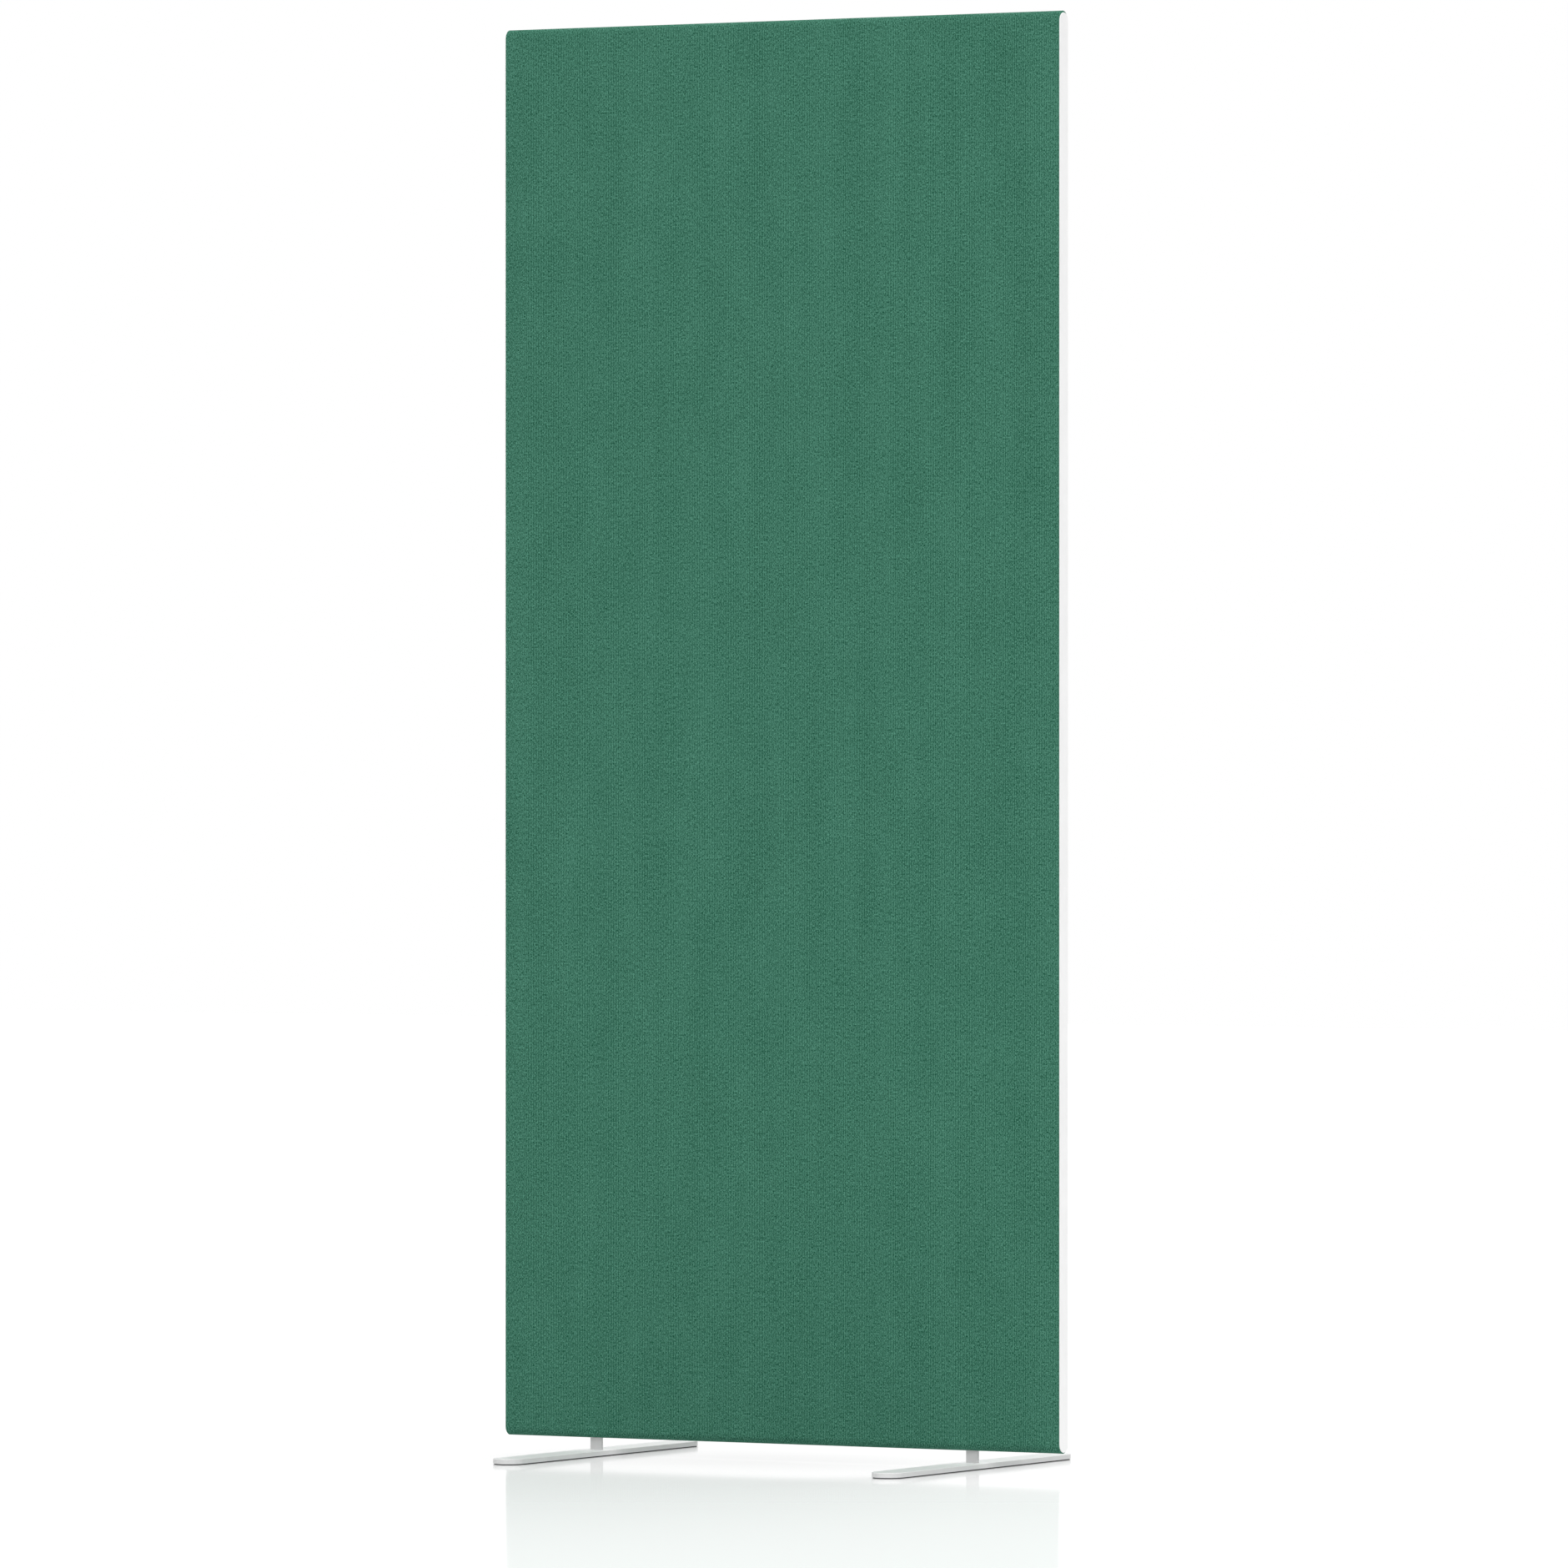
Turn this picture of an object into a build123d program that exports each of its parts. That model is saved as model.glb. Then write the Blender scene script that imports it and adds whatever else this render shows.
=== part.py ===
# Office floor screen: a thin fabric-covered panel that stands on two flat steel feet.
# The origin is on the floor under the middle of the panel. Z is up, X runs along the
# panel, and the front looks towards -Y. All sizes are in millimetres.

from build123d import *
import math
import os

# Whole screen
screen_width = 800.0
screen_height = 1800.0
panel_thickness = 22.0
floor_gap = 22.0
overrun = 5.0

# Cover: a taut sleeve, turned in at both sides and tucked into a groove
fabric_thickness = 1.0
liner_thickness = 2.0
tuck_depth = 8.0
slit_clearance = 0.4
cover_edge_round = 0.6

# Edge strips: a flat cap with round ends on a barbed spine
strip_thickness = 1.0
strip_side_inset = 0.6
strip_top_inset = 2.5
strip_bottom_inset = 1.3
strip_edge_round = 0.5
spine_depth = 9.0
spine_root_half = 0.8
spine_barb_half = 1.4
spine_clearance = 0.1
spine_barb_count = 3
groove_depth = 10.0

# Timber frame
stile_width = 45.0
top_rail_height = 50.0
bottom_rail_height = 118.0
middle_rail_height = 45.0
nose_straight = 4.0
nose_clearance = 0.1
dowel_radius = 4.0
dowel_length = 44.0
dowel_chamfer = 1.0
dowel_clearance = 0.1
dowel_end_clearance = 0.8
corner_dowel_shares = (0.25, 0.75)
middle_dowel_shares = (0.25, 0.75)
core_clearance = 0.5

# Feet
foot_inset = 129.0
foot_length = 464.0
foot_width = 40.0
foot_thickness = 6.0
foot_edge_round = 0.8
pad_thickness = 1.0
pad_inset = 1.2
upright_width = 16.0
upright_depth = 5.0
upright_edge_round = 0.5
upright_tip_chamfer = 1.5
weld_leg = 2.0
weld_slope_degrees = 45

# Foot sockets in the bottom rail, and their screws
socket_depth = 80.0
socket_wall = 1.5
socket_clearance = 0.25
socket_fit = 0.2
flange_length = 64.0
flange_margin = 4.0
screw_edge_distance = 10.0
screw_radius = 1.75
screw_head_radius = 3.4
screw_rim = 0.3
screw_length = 30.0
screw_tip_length = 4.0
screw_clearance = 0.05
screw_recess_width = 1.0
screw_recess_span = 3.6
screw_recess_depth = 1.4

# Places that follow from the sizes above
crown_radius = panel_thickness / 2
cover_width = screen_width - 2 * strip_thickness
frame_width = cover_width - 2 * fabric_thickness
nose_radius = crown_radius - fabric_thickness
frame_thickness = panel_thickness - 2 * (fabric_thickness + liner_thickness)
top_centre = screen_height - crown_radius
bottom_centre = floor_gap + crown_radius
top_shoulder = top_centre - nose_straight
bottom_shoulder = bottom_centre + nose_straight
top_rail_low = screen_height - fabric_thickness - top_rail_height
bottom_rail_high = floor_gap + fabric_thickness + bottom_rail_height
stile_inner = frame_width / 2 - stile_width
middle_rail_centre = (top_rail_low + bottom_rail_high) / 2
middle_rail_low = middle_rail_centre - middle_rail_height / 2
middle_rail_high = middle_rail_centre + middle_rail_height / 2
groove_half = spine_barb_half + spine_clearance + fabric_thickness
tuck_half = groove_half - fabric_thickness
groove_length = top_centre - bottom_centre
panel_middle = (top_centre + bottom_centre) / 2
strip_top = screen_height - strip_top_inset
strip_bottom = floor_gap + strip_bottom_inset
foot_places = {"left": foot_inset - screen_width / 2, "right": screen_width / 2 - foot_inset}
plate_low = pad_thickness
pocket_width = upright_width + 2 * socket_clearance
pocket_depth = upright_depth + 2 * socket_clearance
socket_width = pocket_width + 2 * socket_wall
socket_thickness = pocket_depth + 2 * socket_wall
flange_width = upright_depth + 2 * flange_margin
flange_low = bottom_centre - math.sqrt(nose_radius**2 - (flange_width / 2) ** 2)
flange_high = flange_low + socket_wall
pocket_high = flange_low + socket_depth
socket_high = pocket_high + socket_wall
screw_offset = flange_length / 2 - screw_edge_distance
head_height = screw_head_radius - screw_radius

os.makedirs("parts", exist_ok=True)


def save(piece, name):
    """Label one finished piece and write it to its own file."""
    piece.label = name
    export_step(piece, f"parts/{name}.step")


def cut_strip_grooves():
    """Cut the groove for the edge strip's spine down both narrow sides of the frame."""
    for side in (-1, 1):
        middle = side * (frame_width / 2 + (overrun - groove_depth) / 2)
        with Locations((middle, 0, panel_middle)):
            Box(groove_depth + overrun, 2 * groove_half, groove_length, mode=Mode.SUBTRACT)


def dowel_axes_at(height):
    """The places of the four corner dowels that cross one rail's joint with the stiles."""
    wood = stile_width - groove_depth
    offsets = [frame_width / 2 - groove_depth - wood * share for share in corner_dowel_shares]
    return [(side * offset, 0, height) for side in (-1, 1) for offset in offsets]


def middle_dowel_axes():
    """The places of the four dowels that cross the middle rail's joints with the stiles."""
    heights = [middle_rail_low + middle_rail_height * share for share in middle_dowel_shares]
    return [(side * stile_inner, 0, height) for side in (-1, 1) for height in heights]


def cut_dowel_holes(places, turn=(0, 0, 0)):
    """Cut a hole with a little room at its wall and ends round each of these dowels."""
    with Locations(*places):
        Cylinder(
            dowel_radius + dowel_clearance,
            dowel_length + 2 * dowel_end_clearance,
            rotation=turn,
            mode=Mode.SUBTRACT,
        )


def screw_places():
    """The axes of the socket screws, two to a flange."""
    return [(x + step, 0) for x in foot_places.values() for step in (-screw_offset, screw_offset)]


def screw_section(x, y, low, room=0.0):
    """Half of a countersunk screw's section from this height up, with some room for its hole."""
    rim_high = flange_low + screw_rim
    with BuildSketch(Plane.XZ.offset(-y)) as section:
        with BuildLine():
            Polyline(
                (x, low),
                (x + screw_head_radius + room, low),
                (x + screw_head_radius + room, rim_high),
                (x + screw_radius + room, rim_high + head_height),
                (x + screw_radius + room, flange_low + screw_length - screw_tip_length),
                (x, flange_low + screw_length + room),
                close=True,
            )
        make_face()
    return section.sketch


def cut_screw_holes():
    """Cut a countersunk hole for each socket screw, open below, with a little room round it."""
    for x, y in screw_places():
        section = screw_section(x, y, flange_low - overrun, screw_clearance)
        revolve(section, axis=Axis((x, y, 0), (0, 0, 1)), mode=Mode.SUBTRACT)


# Timber frame


def rail_section(end, shoulder, centre):
    """A rail's section: frame-thick from its flat edge to the shoulders, then a round nose."""
    half = frame_thickness / 2
    nose = nose_radius - nose_clearance
    tip = centre + math.copysign(nose, centre - end)
    with BuildSketch(Plane.YZ.offset(-frame_width / 2)) as section:
        with BuildLine():
            Polyline((-half, end), (half, end), (half, shoulder), (nose, shoulder), (nose, centre))
            ThreePointArc((nose, centre), (0, tip), (-nose, centre))
            Polyline((-nose, centre), (-nose, shoulder), (-half, shoulder), (-half, end))
        make_face()
    return section.sketch


with BuildPart() as top_rail:
    extrude(rail_section(top_rail_low, top_shoulder, top_centre), amount=frame_width)
    cut_strip_grooves()
    cut_dowel_holes(dowel_axes_at(top_rail_low))
save(top_rail.part, "top_rail")

with BuildPart() as bottom_rail:
    extrude(rail_section(bottom_rail_high, bottom_shoulder, bottom_centre), amount=frame_width)
    cut_strip_grooves()
    cut_dowel_holes(dowel_axes_at(bottom_rail_high))
    with BuildSketch(Plane.XY.offset(floor_gap - overrun)):
        with Locations(*[(x, 0) for x in foot_places.values()]):
            Rectangle(socket_width + 2 * socket_fit, socket_thickness + 2 * socket_fit)
    extrude(amount=socket_high + socket_fit - floor_gap + overrun, mode=Mode.SUBTRACT)
    with BuildSketch(Plane.XY.offset(floor_gap - overrun)):
        with Locations(*[(x, 0) for x in foot_places.values()]):
            Rectangle(flange_length + 2 * socket_fit, panel_thickness)
    extrude(amount=flange_high - floor_gap + overrun, mode=Mode.SUBTRACT)
    cut_screw_holes()
save(bottom_rail.part, "bottom_rail")

for side, name in ((-1, "left_stile"), (1, "right_stile")):
    with BuildPart() as stile:
        with Locations((side * (frame_width - stile_width) / 2, 0, middle_rail_centre)):
            Box(stile_width, frame_thickness, top_rail_low - bottom_rail_high)
        cut_strip_grooves()
        cut_dowel_holes(dowel_axes_at(top_rail_low))
        cut_dowel_holes(dowel_axes_at(bottom_rail_high))
        cut_dowel_holes(middle_dowel_axes(), turn=(0, 90, 0))
    save(stile.part, name)

with BuildPart() as middle_rail:
    with Locations((0, 0, middle_rail_centre)):
        Box(2 * stile_inner, frame_thickness, middle_rail_height)
    cut_dowel_holes(middle_dowel_axes(), turn=(0, 90, 0))
save(middle_rail.part, "middle_rail")

with BuildPart() as corner_dowels:
    with Locations(*dowel_axes_at(top_rail_low), *dowel_axes_at(bottom_rail_high)):
        Cylinder(dowel_radius, dowel_length)
    chamfer(corner_dowels.edges().filter_by(GeomType.CIRCLE), length=dowel_chamfer)
save(corner_dowels.part, "corner_dowels")

with BuildPart() as middle_rail_dowels:
    with Locations(*middle_dowel_axes()):
        Cylinder(dowel_radius, dowel_length, rotation=(0, 90, 0))
    chamfer(middle_rail_dowels.edges().filter_by(GeomType.CIRCLE), length=dowel_chamfer)
save(middle_rail_dowels.part, "middle_rail_dowels")


# Core boards and liners


for name, low, high in (
    ("lower_core", bottom_rail_high, middle_rail_low),
    ("upper_core", middle_rail_high, top_rail_low),
):
    with BuildPart() as core:
        with Locations((0, 0, (low + high) / 2)):
            Box(2 * (stile_inner - core_clearance), frame_thickness, high - low - 2 * core_clearance)
    save(core.part, name)

for side, name in ((-1, "front_liner"), (1, "rear_liner")):
    with BuildPart() as liner:
        with Locations((0, side * (frame_thickness + liner_thickness) / 2, panel_middle)):
            Box(frame_width, liner_thickness, top_shoulder - bottom_shoulder)
    save(liner.part, name)


# Cover


def sleeve_outline(radius):
    """The panel's section: straight faces that run into a half circle at top and bottom."""
    with Locations((0, panel_middle)):
        SlotOverall(groove_length + 2 * radius, 2 * radius, rotation=90)


with BuildPart() as fabric_cover:
    with BuildSketch(Plane.YZ.offset(-cover_width / 2)):
        sleeve_outline(crown_radius)
    extrude(amount=cover_width)
    ends = fabric_cover.faces().filter_by(Axis.X)
    fillet(ends.edges(), radius=cover_edge_round)
    with BuildSketch(Plane.YZ.offset(-frame_width / 2)):
        sleeve_outline(nose_radius)
    extrude(amount=frame_width, mode=Mode.SUBTRACT)
    for side in (-1, 1):
        with Locations((side * (frame_width - tuck_depth) / 2, 0, panel_middle)):
            Box(tuck_depth, 2 * groove_half, groove_length)
        middle = side * (frame_width + overrun - tuck_depth) / 2
        with Locations((middle, 0, panel_middle)):
            Box(
                tuck_depth + overrun,
                2 * tuck_half,
                groove_length - 2 * fabric_thickness,
                mode=Mode.SUBTRACT,
            )
    with Locations(*[(x, 0, floor_gap) for x in foot_places.values()]):
        Box(
            upright_width + 2 * slit_clearance,
            upright_depth + 2 * slit_clearance,
            2 * overrun,
            mode=Mode.SUBTRACT,
        )
save(fabric_cover.part, "fabric_cover")


# Edge strips


def spine_points(side):
    """One half of the spine's barbed section, from the cap inwards to the spine's tip."""
    cap_face = cover_width / 2
    barb_step = spine_depth / spine_barb_count
    points = [(side * cap_face, 0), (side * cap_face, spine_root_half)]
    points.append((side * (cap_face - fabric_thickness), spine_root_half))
    for barb in range(spine_barb_count):
        barb_place = cap_face - fabric_thickness - barb * barb_step
        points.append((side * barb_place, spine_barb_half))
        points.append((side * (barb_place - barb_step), spine_root_half))
    points.append((side * (cap_face - fabric_thickness - spine_depth), 0))
    return points


for side, name in ((-1, "left_edge_strip"), (1, "right_edge_strip")):
    cap_width = panel_thickness - 2 * strip_side_inset
    spine_length = groove_length - 2 * fabric_thickness - 2 * spine_clearance
    with BuildPart() as strip:
        with BuildSketch(Plane.YZ.offset(side * screen_width / 2)):
            with Locations((0, (strip_top + strip_bottom) / 2)):
                SlotOverall(strip_top - strip_bottom, cap_width, rotation=90)
        extrude(amount=-side * strip_thickness)
        outer = strip.faces().sort_by(Axis.X)[0 if side < 0 else -1]
        fillet(outer.edges(), radius=strip_edge_round)
        with BuildSketch(Plane.XY.offset(panel_middle - spine_length / 2)):
            with BuildLine():
                Polyline(*spine_points(side))
                mirror(about=Plane.XZ)
            make_face()
        extrude(amount=spine_length)
    save(strip.part, name)


# Feet


def block_section(x, width, depth, height):
    """A rectangle round one foot's upright axis, at this height."""
    with BuildSketch(Plane.XY.offset(height)) as section:
        with Locations((x, 0)):
            Rectangle(width, depth)
    return section.sketch


def foot_section(x, inset, height):
    """A foot's outline with full-round ends, drawn in by this inset, at this height."""
    with BuildSketch(Plane.XY.offset(height)) as section:
        with Locations((x, 0)):
            SlotOverall(foot_length - 2 * inset, foot_width - 2 * inset, rotation=90)
    return section.sketch


def weld_section(x):
    """The lower, wider end of the sloped recess that the weld fills."""
    return block_section(x, upright_width + 2 * weld_leg, upright_depth + 2 * weld_leg, plate_low)


for name, x in foot_places.items():
    upright_section = block_section(x, upright_width, upright_depth, plate_low)

    with BuildPart() as socket:
        extrude(block_section(x, flange_length, flange_width, flange_low), amount=socket_wall)
        extrude(
            block_section(x, socket_width, socket_thickness, flange_low),
            amount=socket_high - flange_low,
        )
        extrude(
            block_section(x, pocket_width, pocket_depth, flange_low),
            amount=pocket_high - flange_low,
            mode=Mode.SUBTRACT,
        )
        cut_screw_holes()
    save(socket.part, f"{name}_foot_socket")

    with BuildPart() as upright:
        extrude(upright_section, amount=pocket_high - plate_low)
        tip = upright.faces().sort_by(Axis.Z)[-1]
        chamfer(tip.edges().filter_by(Axis.Y), length=upright_tip_chamfer)
        fillet(upright.edges().filter_by(Axis.Z), radius=upright_edge_round)
    save(upright.part, f"{name}_foot_upright")

    with BuildPart() as weld:
        extrude(weld_section(x), amount=weld_leg, taper=weld_slope_degrees)
        extrude(upright_section, amount=weld_leg, mode=Mode.SUBTRACT)
    save(weld.part, f"{name}_foot_weld")

    with BuildPart() as plate:
        extrude(foot_section(x, 0, plate_low), amount=foot_thickness)
        fillet(plate.faces().sort_by(Axis.Z)[-1].edges(), radius=foot_edge_round)
        extrude(upright_section, amount=foot_thickness, mode=Mode.SUBTRACT)
        extrude(weld_section(x), amount=weld_leg, taper=weld_slope_degrees, mode=Mode.SUBTRACT)
    save(plate.part, f"{name}_foot_plate")

    with BuildPart() as pad:
        extrude(foot_section(x, pad_inset, 0), amount=pad_thickness)
    save(pad.part, f"{name}_foot_pad")


with BuildPart() as socket_screws:
    for x, y in screw_places():
        revolve(screw_section(x, y, flange_low), axis=Axis((x, y, 0), (0, 0, 1)))
    with Locations(*[(x, y, flange_low) for x, y in screw_places()]):
        Box(screw_recess_span, screw_recess_width, 2 * screw_recess_depth, mode=Mode.SUBTRACT)
        Box(screw_recess_width, screw_recess_span, 2 * screw_recess_depth, mode=Mode.SUBTRACT)
save(socket_screws.part, "socket_screws")
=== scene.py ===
# %% [markdown]
# # An office floor screen
#
# The real object is a thin timber frame, filled with soft board, in a taut ribbed cloth sleeve.
# White plastic strips close its two narrow sides, and it stands on two flat steel feet.
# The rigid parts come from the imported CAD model, which this lesson loads as a fixed frame.
# Blender adds what the CAD leaves out: the cloth with its ribs, the finishes, the floor and the light.

import math

import bpy
import numpy as np
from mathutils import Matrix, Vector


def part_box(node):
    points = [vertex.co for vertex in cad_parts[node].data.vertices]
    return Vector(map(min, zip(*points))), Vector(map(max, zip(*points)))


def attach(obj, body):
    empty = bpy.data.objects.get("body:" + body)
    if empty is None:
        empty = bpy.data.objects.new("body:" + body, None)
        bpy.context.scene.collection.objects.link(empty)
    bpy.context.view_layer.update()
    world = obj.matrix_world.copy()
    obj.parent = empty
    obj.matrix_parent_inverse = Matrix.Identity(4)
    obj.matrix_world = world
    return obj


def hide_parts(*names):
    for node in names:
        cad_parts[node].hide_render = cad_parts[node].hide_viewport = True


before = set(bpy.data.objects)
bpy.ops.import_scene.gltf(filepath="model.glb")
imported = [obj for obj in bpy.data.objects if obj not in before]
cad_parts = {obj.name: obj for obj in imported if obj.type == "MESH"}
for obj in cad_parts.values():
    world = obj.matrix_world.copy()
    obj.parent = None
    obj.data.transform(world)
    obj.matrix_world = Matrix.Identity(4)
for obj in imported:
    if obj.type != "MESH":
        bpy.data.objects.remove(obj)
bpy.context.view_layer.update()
mm = 0.001


# %% [markdown]
# ## Colours
#
# Colours are easiest to judge as the 0 to 255 values of a screen, but shaders work in linear light.
# One function turns the first into the second, so that every colour below can be written as it
# would be read off a screen.

# %% Colours


def colour(red, green, blue):
    """Turn screen values from 0 to 255 into the linear colour that a shader reads.

    In words: a share up to 0.04045 is divided by 12.92. Any other share gets 0.055 more, is divided
    by 1.055 and raised to the power 2.4.
    """
    shares = np.array([red, green, blue]) / 255
    linear = np.where(shares <= 0.04045, shares / 12.92, ((shares + 0.055) / 1.055) ** 2.4)
    return (*(float(value) for value in linear), 1.0)


def grey(level):
    """A neutral colour of one screen value."""
    return colour(level, level, level)


full_white = (1.0, 1.0, 1.0, 1.0)
print("a mid grey screen value in linear light:", round(grey(128)[0], 3))

# %% [markdown]
# ## Node trees
#
# A material is a tree of nodes. Each helper here adds one node and feeds its inputs, either with
# plain values or with what other nodes give. With them, each finish further down reads as a short
# list of what feeds what. Nodes could also be wired by hand in the shader editor, but a script gives
# the same tree every time.

# %% Nodes and links


def feed(tree, socket, value):
    """Give an input socket a plain value, or link another node's output to it."""
    if isinstance(value, bpy.types.NodeSocket):
        tree.links.new(value, socket)
    else:
        socket.default_value = value


def put(tree, kind, settings=None, **inputs):
    """Add a node with its settings, and feed its inputs by name."""
    node = tree.nodes.new(kind)
    for key, value in (settings or {}).items():
        setattr(node, key, value)
    for key, value in inputs.items():
        feed(tree, node.inputs[key.replace("_", " ")], value)
    return node


def math_node(tree, operation, first, second=0.0):
    """Combine one or two values, each a number or a socket, and give back the result's socket."""
    node = put(tree, "ShaderNodeMath", {"operation": operation})
    feed(tree, node.inputs[0], first)
    feed(tree, node.inputs[1], second)
    return node.outputs[0]


print("helpers:", put.__name__, "for any node,", math_node.__name__, "for arithmetic")

# %% [markdown]
# ## Sums, products and joined shaders
#
# Many values below are sums or products of several others, but a node takes only two at a time.
# These helpers chain as many nodes as it takes. The last one joins two shaders: it adds their light,
# or lets a share decide between them.

# %% Sums and joins


def total(tree, *values):
    """Add up any number of values."""
    result = values[0]
    for value in values[1:]:
        result = math_node(tree, "ADD", result, value)
    return result


def product(tree, *values):
    """Multiply any number of values."""
    result = values[0]
    for value in values[1:]:
        result = math_node(tree, "MULTIPLY", result, value)
    return result


def join_shaders(tree, kind, first, second, share=None):
    """Add two shaders, or mix them by a share that goes to the second, and give back the result."""
    node = tree.nodes.new(kind)
    sockets = list(node.inputs)
    if share is not None:
        feed(tree, sockets.pop(0), share)
    feed(tree, sockets[0], first)
    feed(tree, sockets[1], second)
    return node.outputs[0]


print("helpers:", total.__name__, product.__name__, join_shaders.__name__)

# %% [markdown]
# ## Mixed colours and kinds of rays
#
# Blender's Mix node serves numbers, vectors and colours at once, so it has a set of inputs for each.
# The colour set is picked by number: the share comes first, the two colours are inputs 6 and 7, and
# their mixture is output 2. A second helper tells rays that look at a thing from those that only
# carry light, so that the room and the floor can look whiter than they shine.

# %% Colour mixing and rays
mix_share_input = 0
mix_colour_inputs = (6, 7)
mix_colour_output = 2


def blend_colours(tree, share, first, second):
    """Mix two colours by a share from 0 to 1 and give back the colour socket."""
    node = put(tree, "ShaderNodeMix", {"data_type": "RGBA"})
    feed(tree, node.inputs[mix_share_input], share)
    for number, value in zip(mix_colour_inputs, (first, second)):
        feed(tree, node.inputs[number], value)
    return node.outputs[mix_colour_output]


def seen_directly(tree):
    """1 for rays from the camera, a mirror or glass, and 0 for the light that fills the room."""
    rays = tree.nodes.new("ShaderNodeLightPath")
    seen = math_node(tree, "MAXIMUM", rays.outputs["Is Camera Ray"], rays.outputs["Is Glossy Ray"])
    return math_node(tree, "MAXIMUM", seen, rays.outputs["Is Transmission Ray"])


print("colours go in at", mix_colour_inputs, "and come out at", mix_colour_output)

# %% [markdown]
# ## Unevenness
#
# No real surface is quite even, so every finish starts from noise of the right size. Noise in
# Blender has blobs about one unit wide, so the place is divided by the size that the blobs should
# have. The values mostly lie between 0.3 and 0.7, and are stretched to the range that is wanted.

# %% Noise helpers
noise_low = 0.3
noise_high = 0.7


def object_place(tree):
    """The object's own coordinates, in metres, which stay put when the camera moves."""
    return tree.nodes.new("ShaderNodeTexCoord").outputs["Object"]


def grain(tree, source, size, detail=2.0, roughness=0.6):
    """Noise whose blobs are about this size, in metres along each axis of the source coordinates."""
    place = put(tree, "ShaderNodeMapping", Vector=source, Scale=[1 / length for length in size])
    noise = put(
        tree,
        "ShaderNodeTexNoise",
        Vector=place.outputs["Vector"],
        Scale=1.0,
        Detail=detail,
        Roughness=roughness,
    )
    return noise.outputs["Fac"]


def spread(tree, source, low, high):
    """Stretch a noise's usual range to these two values, and cut off what lies outside."""
    node = put(
        tree,
        "ShaderNodeMapRange",
        Value=source,
        From_Min=noise_low,
        From_Max=noise_high,
        To_Min=low,
        To_Max=high,
    )
    return node.outputs["Result"]


print("noise is stretched from", noise_low, "to", noise_high)

# %% [markdown]
# ## A material in short
#
# Every finish here has the same three parts: a tone, a roughness and a fine relief. The relief is
# bump, which bends the light and leaves the shape as it is. So each finish starts a fresh material,
# works out its tone, and hands all three parts to one function.

# %% Material helpers


def fresh_material(name):
    """Start a material with one Principled shader, and give back all three parts."""
    material = bpy.data.materials.new(name)
    material.use_nodes = True
    tree = material.node_tree
    tree.nodes.clear()
    shader = tree.nodes.new("ShaderNodeBsdfPrincipled")
    output = tree.nodes.new("ShaderNodeOutputMaterial")
    tree.links.new(shader.outputs["BSDF"], output.inputs["Surface"])
    return material, tree, shader


def coat(tree, shader, tone, roughness, relief, strength, depth):
    """Wire what every finish here has: its tone, its roughness, and a bump from its relief."""
    bump = put(tree, "ShaderNodeBump", Height=relief, Strength=strength, Distance=depth)
    feed(tree, shader.inputs["Base Color"], tone)
    feed(tree, shader.inputs["Roughness"], roughness)
    feed(tree, shader.inputs["Normal"], bump.outputs["Normal"])


print("helpers:", fresh_material.__name__, coat.__name__)

# %% [markdown]
# ## Camera
#
# The screen is seen from its right front with a very long lens: the camera stands 14.5 m away at
# half the screen's height and looks level. The picture is shifted a little instead of tilting the
# camera, so that upright edges stay parallel, as they are in a catalogue picture.

# %% Camera
sensor_width = 36.0
image_side = 1880
focal_pixels = 13927.0
horizon_pixel = 892.23
camera_turn = math.radians(30)
camera_distance = 14.5077
camera_height = 0.8962
camera_aside = 0.0014
camera_sight = 100.0

camera_data = bpy.data.cameras.new("portrait_camera")
camera_data.sensor_width = sensor_width
camera_data.lens = focal_pixels * sensor_width / image_side
camera_data.shift_y = (horizon_pixel - image_side / 2) / image_side
camera_data.clip_end = camera_sight
camera = bpy.data.objects.new("portrait_camera", camera_data)
camera.location = (
    camera_distance * math.sin(camera_turn) + camera_aside * math.cos(camera_turn),
    camera_aside * math.sin(camera_turn) - camera_distance * math.cos(camera_turn),
    camera_height,
)
camera.rotation_euler = (math.pi / 2, 0, camera_turn)
bpy.context.scene.collection.objects.link(camera)
bpy.context.scene.camera = camera
print("lens in mm:", round(camera_data.lens, 1), "shift:", round(camera_data.shift_y, 4))

# %% [markdown]
# ## The white room
#
# A white room lights the screen from all round, so that nearly every colour shows as it is written.
# Its light is kept below full white, to leave room for the lamps. The camera and mirror-like
# surfaces still see it as plain white, because rays that come straight from them are told apart.

# %% World
bpy.context.scene.view_settings.view_transform = "Standard"
room_light = 0.57

world = bpy.data.worlds.new("white_room")
world.use_nodes = True
bpy.context.scene.world = world
room = world.node_tree
room.nodes.clear()
room_level = total(room, product(room, seen_directly(room), 1.0 - room_light), room_light)
room_glow = put(room, "ShaderNodeBackground", Color=full_white, Strength=room_level)
room_output = room.nodes.new("ShaderNodeOutputWorld")
room.links.new(room_glow.outputs["Background"], room_output.inputs["Surface"])
print("light of the room:", room_light)

# %% [markdown]
# ## Lamps
#
# Three large soft lamps shape the screen. One far off, high in front, does most of the work and
# lights the cloth evenly from top to bottom. One high behind brightens the feet's top faces, and a
# weak one low at the right brightens the narrow side. The low one would show as a bright square in
# the glossy floor, so mirrors see the white room in its place.

# %% Lamps
lower_aim = (0, 0, 0.6)
middle_aim = (0, 0, 0.9)


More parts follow.
